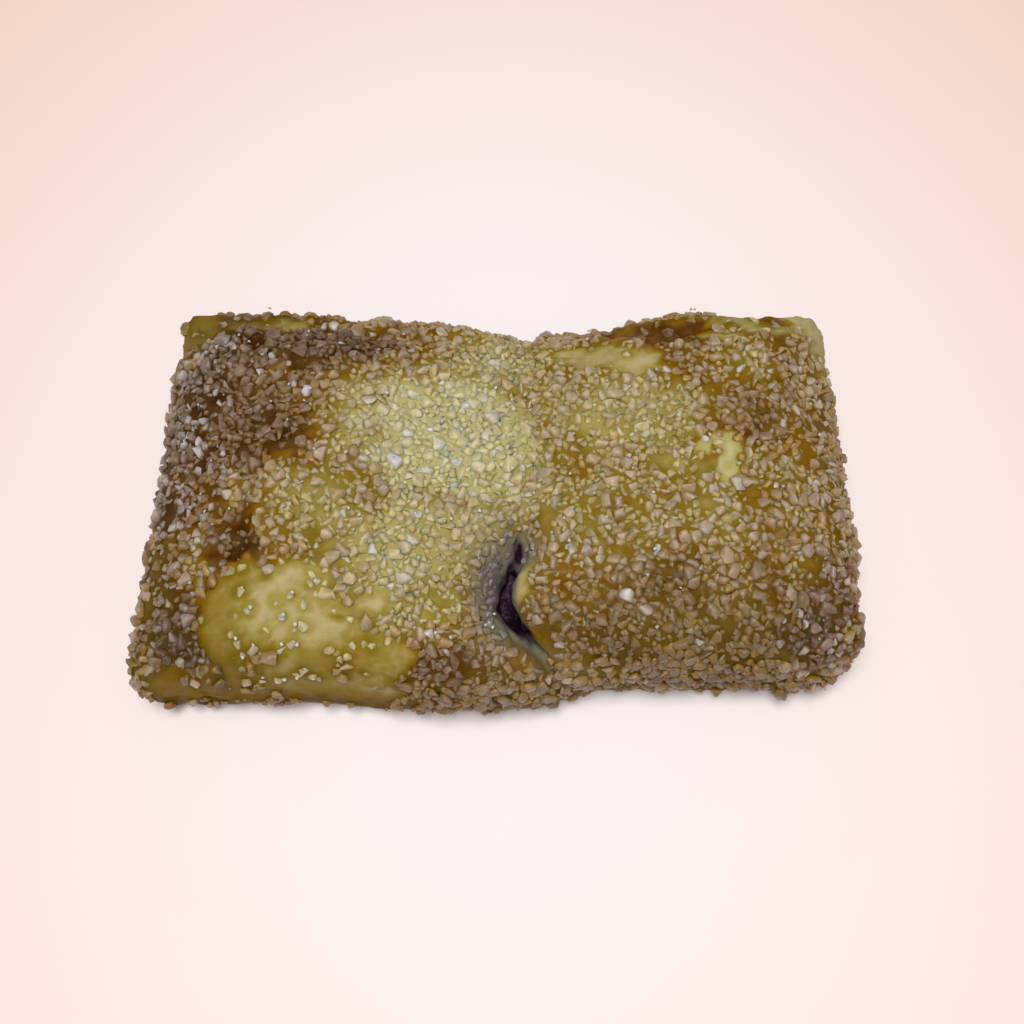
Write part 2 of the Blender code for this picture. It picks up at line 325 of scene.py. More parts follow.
# Where the dough is bare, brown or stained. Each zone: x, y, half width, half depth, turn in degrees,
# strength.
zones = {
    "bare": (
        (-39.5, -26.0, 8.0, 7.0, 8, 1.0),
        (-31.0, -29.5, 6.5, 6.0, -20, 1.0),
        (-33.0, -21.5, 5.0, 3.2, 0, 0.9),
        (-43.5, -30.0, 3.4, 7.5, 12, 1.0),
        (-31.0, -35.8, 14.0, 2.8, 0, 1.0),
        (-20.5, -31.8, 7.0, 2.6, -10, 0.95),
        (-21.5, -25.5, 3.6, 1.8, 25, 0.9),
        (-9.5, -25.5, 3.4, 2.2, 30, 0.7),
        (18.5, 20.8, 10.5, 3.1, -8, 1.0),
        (38.0, 26.2, 4.2, 1.5, -8, 0.9),
        (33.0, 1.6, 2.6, 1.6, 30, 1.0),
        (36.6, 3.0, 2.8, 2.2, -20, 1.0),
        (37.2, -1.2, 1.5, 3.6, -6, 1.0),
        (24.5, 4.4, 3.4, 1.5, 0, 0.7),
        (28.5, -1.5, 1.4, 1.2, 0, 0.7),
        (-54.5, 32.5, 5.5, 5.5, 0, 1.0),
        (-41.0, 30.8, 8.5, 2.3, -6, 1.0),
        (50.0, 32.0, 12.0, 4.8, 0, 1.0),
        (57.5, 27.5, 3.8, 7.0, 0, 1.0),
        (-51.5, -35.0, 6.5, 2.4, 0, 1.0),
        (54.0, -33.6, 7.0, 1.7, 4, 0.95),
        (60.2, -18.0, 1.8, 12.0, 0, 1.0),
        (3.3, -20.8, 1.6, 5.0, 0, 1.0),
    ),
    "pale": (
        (-8.0, 4.0, 17.0, 13.0, -12, 1.0),
        (-13.0, -14.0, 14.0, 9.5, 25, 0.75),
        (-27.0, -7.0, 8.0, 9.0, 0, 0.35),
        (2.0, 22.0, 9.0, 10.0, 0, 0.55),
    ),
    "buff": (
        (20.0, 8.0, 14.0, 9.0, 0, 0.6),
        (17.0, -9.0, 11.0, 8.0, 0, 0.42),
        (30.0, -4.0, 10.0, 8.0, 0, 0.38),
    ),
    "glazed": (
        (26.0, 27.6, 10.5, 3.2, -4, 1.0),
        (-44.0, -14.5, 4.5, 3.5, 0, 0.8),
        (-46.0, 33.8, 5.5, 1.2, -4, 0.8),
        (48.3, 32.4, 4.2, 1.5, 0, 1.0),
        (2.9, -14.8, 1.5, 2.3, 0, 1.0),
        (1.7, -18.2, 1.5, 1.8, 0, 1.0),
        (0.6, -23.5, 2.0, 5.5, 0, 1.0),
        (4.0, -30.2, 3.8, 1.1, -35, 1.0),
    ),
    "brown": (
        (-53.0, 2.0, 8.5, 28.0, 0, 0.85),
        (-44.0, -14.5, 6.0, 5.5, 0, 1.0),
        (-36.0, 23.5, 19.0, 6.5, -6, 1.0),
        (-40.0, 8.0, 11.0, 12.0, 0, 0.8),
        (26.0, 27.8, 11.0, 3.2, -4, 0.72),
        (-46.0, 33.8, 6.0, 1.2, -4, 1.0),
        (48.3, 32.4, 4.4, 1.6, 0, 1.0),
        (44.0, 12.0, 10.0, 9.0, 20, 0.15),
        (31.0, -24.0, 20.0, 7.0, 0, 0.2),
        (-8.0, -33.5, 13.0, 2.4, 0, 0.6),
        (52.0, -22.0, 5.0, 9.0, 0, 0.6),
        (-50.5, -30.5, 7.0, 6.0, 0, 1.0),
        (50.0, -28.0, 8.0, 3.0, 0, 0.8),
        (14.0, -8.0, 6.0, 10.0, 0, 0.2),
    ),
}


def zoneField(name, x, y, wobble, outer=1.3, inner=0.75):
    # strongest zone at each point, with an uneven edge
    field = np.zeros(len(x))
    for atX, atY, wide, deep, turn, strength in zones[name]:
        cosine, sine = math.cos(math.radians(turn)), math.sin(math.radians(turn))
        across = ((x - atX) * cosine + (y - atY) * sine) / wide
        along = ((y - atY) * cosine - (x - atX) * sine) / deep
        edge = np.sqrt(across**2 + along**2) + wobble
        field = np.maximum(field, strength * smooth(outer, inner, edge))
    return field


def noiseAt(coords, size, offset=(0, 0, 0), octaves=1):
    shift = Vector(offset)
    if octaves == 1:
        return np.array([noise.noise(Vector(p) / size + shift) for p in coords])
    return np.array([noise.fractal(Vector(p) / size + shift, 0.9, 2.1, octaves) for p in coords])


def bareAt(coords, outer=1.2, inner=0.85):
    x, y, z = coords.T
    ragged = 0.36 * noiseAt(coords, 5.0, octaves=2) + 0.4 * noiseAt(coords, 2.2, (5, 5, 5))
    return zoneField("bare", x, y, ragged, outer, inner) * smooth(3, 8, z)


# Crust
relief = {
    "blisters": 0.34,
    "blisterSize": 4.4,
    "grain": 0.16,
    "wrinkles": 0.75,
    "dimple": (-50.5, -30.5),  # pressed into the near left corner
    "dimpleReach": (5.2, 4.2),
    "dimpleRing": 1.5,
    "dimpleDepth": 1.3,
    "crack": (30.0, 17.3),
    "crackDepth": 1.5,
    "layers": 0.17,
    # pinholes behind the gape: x, y, half width, half depth
    "holes": ((2.9, -14.6, 0.55, 1.1), (1.8, -17.8, 0.65, 0.8)),
    "holeDepth": 2.0,
}
corners = {
    # how far the corners are drawn: at x, at y, half width, half depth, reach
    "farLeft": (-57, 36, 4.5, 4.5, 1.7),
    "nearLeft": (-57, -32, 6, 5, 1.9),
    "farRight": (57, 33, 7, 5, 1.8),
    "farRightEdge": (46, 34, 5, 4, 0.9),
}


def fineRelief(p, n):
    # millimetres out of the surface: blisters, wrinkled corners and the small marks of the fold
    x, y, z = p
    shown = ramp(0.3, 3, z)
    near = noise.voronoi(p / relief["blisterSize"])[0][0]
    rise = relief["blisters"] * max(0.0, 1 - near / 0.6) ** 2
    rise += relief["grain"] * noise.fractal(p / 2.6, 0.9, 2.1, 3)
    farCorner = ramp(22, 31, y) * max(ramp(24, 44, x), ramp(-28, -44, x))
    nearCorner = ramp(-22, -31, y) * max(ramp(46, 54, x), ramp(-42, -50, x))
    if farCorner + nearCorner > 0.01:
        stretched = Vector((x * 0.10 + y * 0.12, y * 0.55 - x * 0.08, z * 0.35))
        ridges = noise.ridged_multi_fractal(stretched, 1.0, 2.2, 3, 1.0, 2.0) - 0.9
        rise += relief["wrinkles"] * ridges * (farCorner + nearCorner)
    fromX, fromY = x - relief["dimple"][0], y - relief["dimple"][1]
    toDimple = math.hypot(fromX / relief["dimpleReach"][0], fromY / relief["dimpleReach"][1])
    if toDimple < 2:
        turn = math.atan2(fromY, fromX)
        ring = math.exp(-(((toDimple - 1) / 0.24) ** 2)) * (0.55 + 0.45 * math.cos(turn + 0.9))
        pressed = math.exp(-((toDimple / 0.6) ** 2))
        rise += (relief["dimpleRing"] * ring - relief["dimpleDepth"] * pressed) * ramp(6, 14, z)
    crackX, crackY = relief["crack"]
    toCrack = math.hypot(max(0.0, abs(x - crackX) - 1.8), y - crackY + (x - crackX) * 0.28)
    rise -= relief["crackDepth"] * math.exp(-((toCrack / 0.55) ** 2)) * ramp(15, 20, z)
    rise -= relief["holeDepth"] * sum(hump(x, y, *hole) for hole in relief["holes"]) * ramp(14, 18, z)
    layers = ramp(12, 8, z) * ramp(1.0, 2.5, z) * (1 - abs(n.z))
    if layers > 0.02:
        wave = z * 2.9 + 1.6 * noise.noise(p / 11)
        rise += relief["layers"] * layers * math.sin(wave) * (0.5 + noise.noise(p / 6 + Vector((4, 1, 0))))
    return rise * shown


def drawn(place, corner):
    # how far this corner is drawn out or sunk at a place
    *spot, reach = corners[corner]
    return reach * hump(place.x, place.y, *spot)


def buildCrust():
    seamShare = seam["x"] / dough["rightReach"]
    halfShare = seam["half"] / dough["rightReach"]
    across = eased(-1, seamShare - halfShare, 14, True, False)
    across += [seamShare - halfShare + 2 * halfShare * step / seam["steps"] for step in range(seam["steps"])]
    across += eased(seamShare + halfShare, 1, 12, False, True)
    stations = (across[1:], eased(-1, 1, 24, True, True)[1:], eased(-1, 1, 6, False, False)[1:])
    bm = slicedCube(*stations, dough["finer"])
    for vert in bm.verts:
        vert.co = crustPoint(*vert.co)
    underside = [f for f in bm.faces if all(vert.co.z < 1e-4 for vert in f.verts)]
    bmesh.ops.dissolve_faces(bm, faces=underside)
    bmesh.ops.recalc_face_normals(bm, faces=bm.faces)
    bm.normal_update()
    moved = [(vert, vert.co + vert.normal * fineRelief(vert.co.copy(), vert.normal)) for vert in bm.verts]
    for vert, place in moved:
        # the far left corner is drawn out to a tip, the others are squarer than the rounded box
        aboveFoot = ramp(0.3, 3, place.z)
        pulled = drawn(place, "farLeft")
        squared = drawn(place, "nearLeft") * aboveFoot
        farOut = drawn(place, "farRight") * aboveFoot
        sunken = drawn(place, "farRightEdge") * ramp(12, 18, place.z)
        x = place.x - pulled - 0.8 * squared + 0.3 * farOut
        y = place.y + pulled - squared + farOut - 0.6 * sunken
        vert.co = (x, y, max(0.0, place.z - sunken))
    crust = meshObject("crust", bm)
    inner = (eased(-1, 1, 14, True, True)[1:], eased(-1, 1, 10, True, True)[1:], (-0.4, 0.4))
    bm = slicedCube(*inner, 1)
    for vert in bm.verts:
        vert.co = hollowPoint(*vert.co)
    cutAway(crust, meshObject("hollow", bm))
    return crust, inner


print("crust")
crust, innerStations = buildCrust()
print("  crust faces", len(crust.data.polygons))


# Tones of the dough, which the sugar on it takes up too
bakingSteps = ("raw", "straw", "gold", "brown", "dark")
crustLook = {
    "raw": (0.49, 0.405, 0.19),
    "syrup": (0.55, 0.505, 0.27),
    "straw": (0.31, 0.225, 0.038),
    "gold": (0.288, 0.151, 0.001),
    "brown": (0.13, 0.045, 0.001),
    "dark": (0.060, 0.021, 0.001),
    "stops": (0.04, 0.28, 0.56, 0.84, 1.0),  # how far each of the five steps is baked
    # rim: painted shade, the tone the sides and the border darken towards
    "rim": (0.072, 0.051, 0.006),
    "haloTone": (0.66, 0.59, 0.06),  # times the tone below it
    "smudge": (0.19, 0.175, 0.105),
    "bruise": (0.105, 0.075, 0.085),
    # juice: near black, reached mostly on the gape's inner wall and in the pinholes, where it is juice with
    # painted shade
    "juice": (0.022, 0.007, 0.014),
    # where each stain begins and is full, as a share of the juice
    "stains": (("smudge", 0.0, 0.3), ("bruise", 0.3, 0.6), ("juice", 0.62, 0.85)),
    "crumb": (0.5, 0.37, 0.13),
    "crumbShare": 0.15,
    "glaze": 0.12,
    "surface": {
        "Roughness": 0.5,
        "Coat Roughness": 0.16,
        "Specular IOR Level": 0.04,
        "Subsurface Weight": 0.12,
        "Subsurface Radius": (0.0022, 0.0012, 0.0005),
        "Subsurface Scale": 1.0,
    },
    "bump": (0.4, 0.0004),  # strength, height in metres
}
baking = {
    # 0 is raw and 1 is dark
    "level": 0.54,  # of the sugared dough
    "uneven": 0.25,
    "browned": 0.40,  # added in the brown zones
    "paled": 0.92,  # share taken off in the pale zones
    "bare": 0.08,
    "bareLeftEnd": 0.3,  # added towards the left end
    "bareFront": 0.15,
    "knot": (35, 1),  # the palest bare dough, at x and at y
    "backPatches": 0.74,
    # painted shade: the sides are given a darker bake
    "shadedSide": 0.62,
    "foot": 0.78,
}
shade = {
    # painted shade, where the border is darker: at x, at y, half width, half depth
    "front": (31, -31, 26, 9),
    "corners": (54, -31, 9, 6.5),
    "cornerDepth": 0.98,
    "backGlaze": (26, 28, 12, 5),  # the border is lighter here
    "reach": (60, 36),  # of the border, at x and at y
}
juice = {
    # where it is drawn in: at x, at y, half width, half depth
    "low": (-0.4, -21.5, 3.7, 7.2),
    "high": (2.6, -16.0, 2.8, 3.4),
    "highDepth": 0.95,
    # the pinholes are painted near black: juice with painted shade in the pits
    "holes": ((2.9, -14.6, 0.42, 1.0), (1.8, -17.8, 0.55, 0.7)),
    "holeDepth": 2.4,
    "drawnIn": 0.6,
}


def toneBetween(values, stops, tones):
    # red, green and blue between the tones, for a number or an array
    return np.stack([np.interp(values, stops, channel) for channel in zip(*tones)], -1)


def doughTone(bake):
    return toneBetween(bake, crustLook["stops"], [crustLook[name] for name in bakingSteps])


def nearKnot(x, y):
    # 1 round the palest bare dough, 0 further out
    return smooth(8, 4, np.hypot(x - baking["knot"][0], y - baking["knot"][1]))


def bakeAt(coords):
    x, y, z = coords.T
    wobble = 0.45 * noiseAt(coords, 5.0, octaves=2)
    broad = noiseAt(coords, 14.0, (2, 8, 5), octaves=2)
    bare = bareAt(coords)
    pale = zoneField("pale", x, y, wobble * 0.8, 1.8, 0.45) * smooth(14, 19, z)
    pale *= 1 - 0.7 * smooth(5.0, 8.5, x + 3.0 * wobble)  # the right flap begins here
    pale = np.maximum(pale, zoneField("buff", x, y, wobble, 1.6, 0.5))
    brown = zoneField("brown", x, y, wobble * 1.3) * smooth(5, 11, z)
    topBrown = zoneField("glazed", x, y, wobble * 0.6) * (y > 30)
    bake = baking["level"] + baking["uneven"] * broad + baking["browned"] * brown
    bake = bake * (1 - baking["paled"] * pale)
    bareTone = baking["bare"] + baking["bareLeftEnd"] * smooth(-36, -47, x)
    bareTone = bareTone + baking["bareFront"] * smooth(-27, -34, y) * (x < 0)
    bareTone = bareTone - 0.1 * nearKnot(x, y)
    bake = bake * (1 - bare) + bareTone * bare
    bake = bake + (baking["backPatches"] - bake) * topBrown
    # painted shade: the sides below the shoulder darken to the side bake
    bake = bake + (baking["shadedSide"] - bake) * smooth(13, 6, z)
    return np.clip(bake, 0, 1), bare, pale


def paintedShadeAt(x, y):
    # painted shade: the outer border, the front and the corners are darkened as if they lay in less light
    across, along = np.abs(x) / shade["reach"][0], np.abs(y + 1) / shade["reach"][1]
    border = smooth(0.84, 1.02, (across**4 + along**4) ** 0.25)
    border = border * (1 - 0.8 * smooth(35, 50, x) * smooth(15, 30, y))
    border = border * (1 - 0.6 * humpOver(x, y, *shade["backGlaze"]))
    shaded = humpOver(x, y, *shade["front"])
    shaded += shade["cornerDepth"] * humpOver(np.abs(x), y, *shade["corners"])
    return np.minimum(1.0, np.maximum(border, shaded))


def stainAt(x, y):
    # berry juice drawn into the dough and sugar round the gape
    high = juice["highDepth"] * humpOver(x, y, *juice["high"])
    return np.maximum(humpOver(x, y, *juice["low"]), high)


# The layer of melted sugar crumbs, which the clear crystals sit in
crumbs = {"size": 2.3, "height": 0.45}


def crumble(crust):
    mesh = crust.data
    coords = coordsOf(mesh)
    normals = normalsOf(mesh)
    bare = bakeAt(coords)[1]
    cells = np.array([noise.voronoi(Vector(p) / crumbs["size"])[0][0] for p in coords])
    crumb = smooth(0.75, 0.12, cells) * (1 - bare) * smooth(3.0, 9.0, coords[:, 2])
    moveTo(mesh, coords + normals * (crumb * crumbs["height"])[:, None])
    floatAttribute(mesh, "crumb", crumb)


crumble(crust)


# Sugar
sugar = {
    "seed": 11,
    # name: how many, smallest, largest, spacing as a share of the two sizes
    "coarse": (1660, 2.1, 3.0, 0.285),
    "middling": (4800, 1.45, 2.2, 0.24),
    "fine": (1600, 0.7, 1.3, 0.34),
    "sunk": (-0.10, 0.14),  # centre below and above the surface, as a share of the size
    "proud": 0.18,  # further out on the sides
    "shapes": 24,
    "glinting": 0.07,  # share of the large crystals with a painted glint, a small white grain on top
    "glintSize": (0.5, 0.75),
    "glintRise": 0.8,  # a painted glint's centre above its place, on top of a crystal
    "clearness": (0.1, 0.8),  # how much of the dough's tone shows through a crystal
    "worn": 0.85,  # share of the crystals with soft edges
    "frosted": (0.4, 0.25),  # chance at the ends, and more at the left one
    "whitened": (0.03, 0.12, 0.08, 0.14),  # chance anywhere, on pale dough, at the ends, at the left end
    "cell": 3.0,  # of the grid in which near crystals are looked up
    "pocket": (50, 26, 15),  # faces of the hollow lie within this x, y and height, and take none
}
sugarSteps = {
    # how far the dough is baked below each tint
    "melted": 0.05,
    "honey": 0.3,
    "tan": 0.52,
    "toasted": 0.82,
}
sugarTints = {
    # the first four by how far the dough below is baked, the others by place or by mark
    "melted": (0.70, 0.645, 0.41),
    "honey": (0.60, 0.485, 0.28),
    "tan": (0.53, 0.385, 0.215),
    "toasted": (0.285, 0.183, 0.094),
    "lilac": (0.56, 0.455, 0.405),
    "pearl": (0.52, 0.44, 0.35),
    "white": (0.74, 0.70, 0.71),
    "frost": (0.45, 0.395, 0.36),
    # painted shade on the sides and the border
    "shadedSide": (0.155, 0.13, 0.10),
    "stained": (0.28, 0.245, 0.235),
    "plum": (0.23, 0.205, 0.22),
    # painted glints: white grains that stand in for highlights
    "paintedGlint": (0.95, 0.93, 0.90),
    "burnt": (0.02, 0.012, 0.006),
}
# What catches the eye in the sugar: x, y, size, tint
sugarMarks = (
    (-12.4, -2.3, 2.9, "white"),
    (-17.7, -0.9, 3.0, "white"),
    (-7.6, -0.8, 2.0, "white"),
    (-6.0, 2.4, 1.8, "white"),
    (-1.0, 1.4, 2.0, "white"),
    (1.5, 11.5, 2.7, "white"),
    (-25.1, -10.6, 2.1, "white"),
    (-20.5, -16.5, 2.6, "white"),
    (-13.9, -10.6, 2.3, "white"),
    (-3.4, -10.1, 2.2, "white"),
    (-32.5, 12.6, 2.8, "white"),
    (-11.1, -29.6, 2.4, "white"),
    (10.5, -15.2, 2.3, "white"),
    (20.1, -23.9, 3.3, "white"),
    (24.5, -17.0, 2.7, "white"),
    (49.5, 10.5, 3.1, "lilac"),
    (40.9, 17.9, 2.6, "white"),
    (47.0, -23.5, 3.0, "lilac"),
    (33.5, 3.4, 2.0, "white"),
    (48.3, 31.6, 2.7, "frost"),
    # this far corner crystal carries painted shade
    (-57.0, 33.6, 2.4, "shadedSide"),
    # single crystals on the bare dough
    (-39.7, -26.0, 2.1, "pearl"),
    (-41.7, -30.3, 1.7, "pearl"),
    (-40.9, -32.0, 1.6, "pearl"),
    (-39.1, -31.5, 2.1, "pearl"),
    (-34.4, -27.1, 1.6, "pearl"),
    (-32.6, -28.6, 1.5, "pearl"),
    (-34.8, -31.1, 1.9, "pearl"),
    (-32.6, -31.0, 1.8, "pearl"),
    (-31.3, -33.4, 1.7, "pearl"),
    (-37.9, -34.5, 1.6, "pearl"),
    (-35.2, -34.8, 2.0, "pearl"),
    (-32.7, -35.4, 1.9, "pearl"),
    (-30.5, -35.2, 2.0, "pearl"),
    (-32.9, -24.1, 1.5, "pearl"),
    (-36.7, -19.8, 2.1, "lilac"),
    (-43.1, -19.8, 2.0, "lilac"),
    (-41.1, -35.6, 2.2, "frost"),
    # the dimple in the near left corner; the darkest crystals here carry painted shade
    (-53.2, -32.2, 1.9, "shadedSide"),
    (-51.2, -32.0, 2.2, "frost"),
    (-48.5, -32.2, 1.9, "shadedSide"),
    (-46.9, -33.6, 2.2, "shadedSide"),
    (-48.7, -34.4, 1.8, "frost"),
    (-50.6, -34.2, 1.8, "shadedSide"),
    (-52.0, -20.8, 2.4, "pearl"),
    # the sugar at the near end of the gape
    (-1.7, -26.9, 1.8, "frost"),
    (-1.9, -24.8, 1.7, "frost"),
    (7.6, -33.0, 2.2, "frost"),
    (5.6, -32.6, 1.9, "plum"),
    (10.5, -34.4, 2.0, "lilac"),
    # juice stains these, beside and in the gape
    (1.4, -10.7, 1.8, "plum"),
    (1.0, -13.1, 1.7, "plum"),
    (-0.9, -17.5, 1.9, "plum"),
    (4.2, -17.6, 1.7, "plum"),
    (-1.9, -19.8, 1.7, "plum"),
    (-1.8, -22.4, 1.9, "plum"),
    (0.0, -28.2, 1.8, "plum"),
    # burnt specks
    (30.0, 10.3, 0.6, "burnt"),
    (30.3, 5.8, 0.6, "burnt"),
    (6.3, -10.6, 0.7, "burnt"),
    (-27.5, 6.0, 0.5, "burnt"),
)


def sugarShare(places, outs):
    # how much of the surface takes sugar, at each place
    x, y, z = places.T
    nz = outs[:, 2]
    wobble = noiseAt(places, 6.0) * 0.3
    share = 1.0 - 0.985 * bareAt(places, 1.35, 0.95)
    share *= 1.0 - 0.97 * zoneField("glazed", x, y, wobble * 0.5, 1.4, 1.0)
    share *= smooth(2.0, 9.0, z) * 0.95 + 0.05
    share *= np.where(nz < 0.25, 0.75, 1.0)
    share *= np.where((nz < -0.2) | (z < 1.2), 0.0, 1.0)
    frontLeft = (y < -24) & (nz < 0.5) & (x < 5)
    share *= np.where(frontLeft, 0.35 + 0.65 * smooth(6, 14, z), 1.0)
    past = x - np.array([seamX(b, c) for b, c in zip(y, z)])
    inGape = (np.abs(past) < 4) & (y > -31) & (y < -12) & ((z < 19) | (nz < 0.45))
    share *= np.where(inGape, 0.0, 1.0)
    gaps = np.clip(0.9 + 2.6 * noiseAt(places, 4.2, (7, 3, 1)), 0.1, 1.0)
    full = zoneField("pale", x, y, wobble)
    return share * (gaps * (1 - full) + full)


def cellOf(place):
    return tuple(int(math.floor(value / sugar["cell"])) for value in place)


def hasRoom(grid, place, size, spacing):
    # no crystal that is already placed comes too near
    x, y, z = place
    key = cellOf(place)
    for i, j, k in itertools.product((-1, 0, 1), repeat=3):
        for other, otherSize in grid.get((key[0] + i, key[1] + j, key[2] + k), ()):
            gap = spacing * (size + otherSize)
            if (other[0] - x) ** 2 + (other[1] - y) ** 2 + (other[2] - z) ** 2 < gap * gap:
                return False
    return True


def scatterSugar(crust, rng):
    mesh = crust.data
    mesh.calc_loop_triangles()
    coords = coordsOf(mesh)
    normals = normalsOf(mesh)
    tris = np.array([t.vertices[:] for t in mesh.loop_triangles])
    a, b, c = coords[tris[:, 0]], coords[tris[:, 1]], coords[tris[:, 2]]
    cross = np.cross(b - a, c - a)
    area = np.linalg.norm(cross, axis=1) / 2
    middle = (a + b + c) / 3
    outside = (middle[:, 2] > 1.2) & (cross[:, 2] > -0.6 * area)  # not on the underside
    reachX, reachY, topZ = sugar["pocket"]
    inner = (np.abs(middle[:, 0]) < reachX) & (np.abs(middle[:, 1] + 1) < reachY) & (middle[:, 2] < topZ)
    area = np.where(outside & ~inner, area, 0)
    picker = np.random.RandomState(sugar["seed"])
    grid = {}
    grains = []
    facing = np.where((normals[:, 2] > 0.15) & (coords[:, 2] > 12), 0, 99)
    # painted glints: white grains beside the brightest marks and two at the near end of the gape
    brightest = [mark for mark in sugarMarks if mark[3] in ("pearl", "white")]
    marks = list(sugarMarks)
    marks += [(x + 0.3, y + 0.3, 0.75, "paintedGlint") for x, y, _, _ in brightest]
    marks += [(-2.0, -27.3, 0.7, "paintedGlint"), (-1.1, -27.6, 0.7, "paintedGlint")]
    for x, y, size, tint in marks:
        nearest = int(np.argmin(np.hypot(coords[:, 0] - x, coords[:, 1] - y) + facing))
        place, out = coords[nearest], normals[nearest]
        kind = "coarse" if size > 1 else "fine"
        grid.setdefault(cellOf(place), []).append((place, size))
        grains.append((kind, Vector(place), Vector(out).normalized(), size, tint))
    for kind in ("coarse", "middling", "fine"):
        wanted, small, large, spacing = sugar[kind]
        tried = picker.choice(len(tris), size=wanted * 10, p=area / area.sum())
        r1, r2 = np.sqrt(picker.rand(len(tried))), picker.rand(len(tried))
        weights = np.stack([1 - r1, r1 * (1 - r2), r1 * r2], 1)
        places = np.einsum("ij,ijk->ik", weights, coords[tris[tried]])
        outs = np.einsum("ij,ijk->ik", weights, normals[tris[tried]])
        wants = sugarShare(places, outs) > picker.rand(len(places))
        placed = 0
        for place, out in zip(places[wants], outs[wants]):
            if placed == wanted:
                break
            size = small + (large - small) * rng.random() ** 1.3
            if not hasRoom(grid, place, size, spacing):
                continue
            grid.setdefault(cellOf(place), []).append((place, size))
            grains.append((kind, Vector(place), Vector(out).normalized(), size, None))
            placed += 1
            if kind == "coarse" and out[2] > 0.6 and rng.random() < sugar["glinting"]:
                # a painted glint: a small white grain on top of the crystal
                spot = place + out * (0.42 * size - sugar["glintRise"]) + np.array((0.2, 0.3, 0)) * size
                facet = rng.uniform(*sugar["glintSize"])
                grains.append(("fine", Vector(spot), Vector(out).normalized(), facet, "paintedGlint"))
        print("  sugar", kind, placed)
    return grains


def crystalShapes(rng, bevel):
    # unit crystals, from round nuggets to worn blocks
    shapes = []
    for _ in range(sugar["shapes"]):
        bm = bmesh.new()
        stretch = Vector((rng.uniform(0.85, 1.3), rng.uniform(0.75, 1.1), rng.uniform(0.65, 0.95)))
        blocky = rng.uniform(2.0, 3.6)
        for _ in range(15):
            spot = Vector((rng.gauss(0, 1), rng.gauss(0, 1), rng.gauss(0, 1))).normalized()
            spread = sum(abs(value) ** blocky for value in spot) ** (-1 / blocky)
            bm.verts.new(spot * spread * rng.uniform(0.44, 0.54) * stretch)
        bmesh.ops.convex_hull(bm, input=bm.verts)
        loose = [v for v in bm.verts if not v.link_faces]
        bmesh.ops.delete(bm, geom=loose, context="VERTS")
        bmesh.ops.dissolve_limit(bm, angle_limit=math.radians(18), verts=bm.verts, edges=bm.edges)
        if bevel:
            edges = bm.edges[:]
            bmesh.ops.bevel(bm, geom=edges, offset=bevel, segments=1, affect="EDGES", clamp_overlap=True)
        bmesh.ops.recalc_face_normals(bm, faces=bm.faces)
        bmesh.ops.triangulate(bm, faces=bm.faces)
        verts = np.array([v.co[:] for v in bm.verts])
        index = {v: i for i, v in enumerate(bm.verts)}
        faces = np.array([[index[v] for v in f.verts] for f in bm.faces])
        bm.free()
        shapes.append((verts, faces))
    return shapes


def sugarTint(place, bake, large, marked, rng):
    x, y, z = place
    if marked:
        return Vector(sugarTints[marked])
    tones = [sugarTints[name] for name in sugarSteps]
    tint = Vector(toneBetween(bake, list(sugarSteps.values()), tones))
    lilac = Vector(sugarTints["lilac"]) * (1 - 0.4 * ramp(0.35, 0.85, bake))
    chance = rng.random()
    clean = 0.4 + 0.6 * chance if large else 0.55 * chance**1.5  # the small ones are soaked with syrup
    tint = tint.lerp(lilac, clean * ramp(0.05, 0.4, bake) * (1 - 0.4 * ramp(0.55, 0.85, bake)))
    if not large:
        tint = Vector((tint.x, tint.y * 0.99, tint.z * 0.86))
    toEnd = ramp(42, 54, abs(x))
    # painted shade: crystals low on the sides and on the border take the side tint
    edge = float(paintedShadeAt(x, y)) * (0.85 - 0.4 * toEnd * ramp(-32, -20, y))
    tint = tint.lerp(Vector(sugarTints["shadedSide"]), max(0.8 * ramp(20, 11, z), edge))
    leftEnd = toEnd * ramp(-30, -18, y) if x < 0 else 0.0
    frostedEnds, frostedLeft = sugar["frosted"]
    if rng.random() < frostedEnds * toEnd + frostedLeft * leftEnd:
        tint = tint.lerp(Vector(sugarTints["frost"]), rng.uniform(0.5, 1.0))
    anywhere, onPale, atEnds, atLeft = sugar["whitened"]
    if rng.random() < anywhere + onPale * ramp(0.25, 0.1, bake) + atEnds * toEnd + atLeft * leftEnd:
        tint = tint.lerp(Vector(sugarTints["white"]), rng.uniform(0.3, 0.8) * ramp(14, 20, z))
    stain = stainAt(np.array([x]), np.array([y]))[0]
    tint = tint.lerp(Vector(sugarTints["stained"]), min(1.0, 1.7 * float(stain)))
    return tint * rng.uniform(0.8, 1.15)


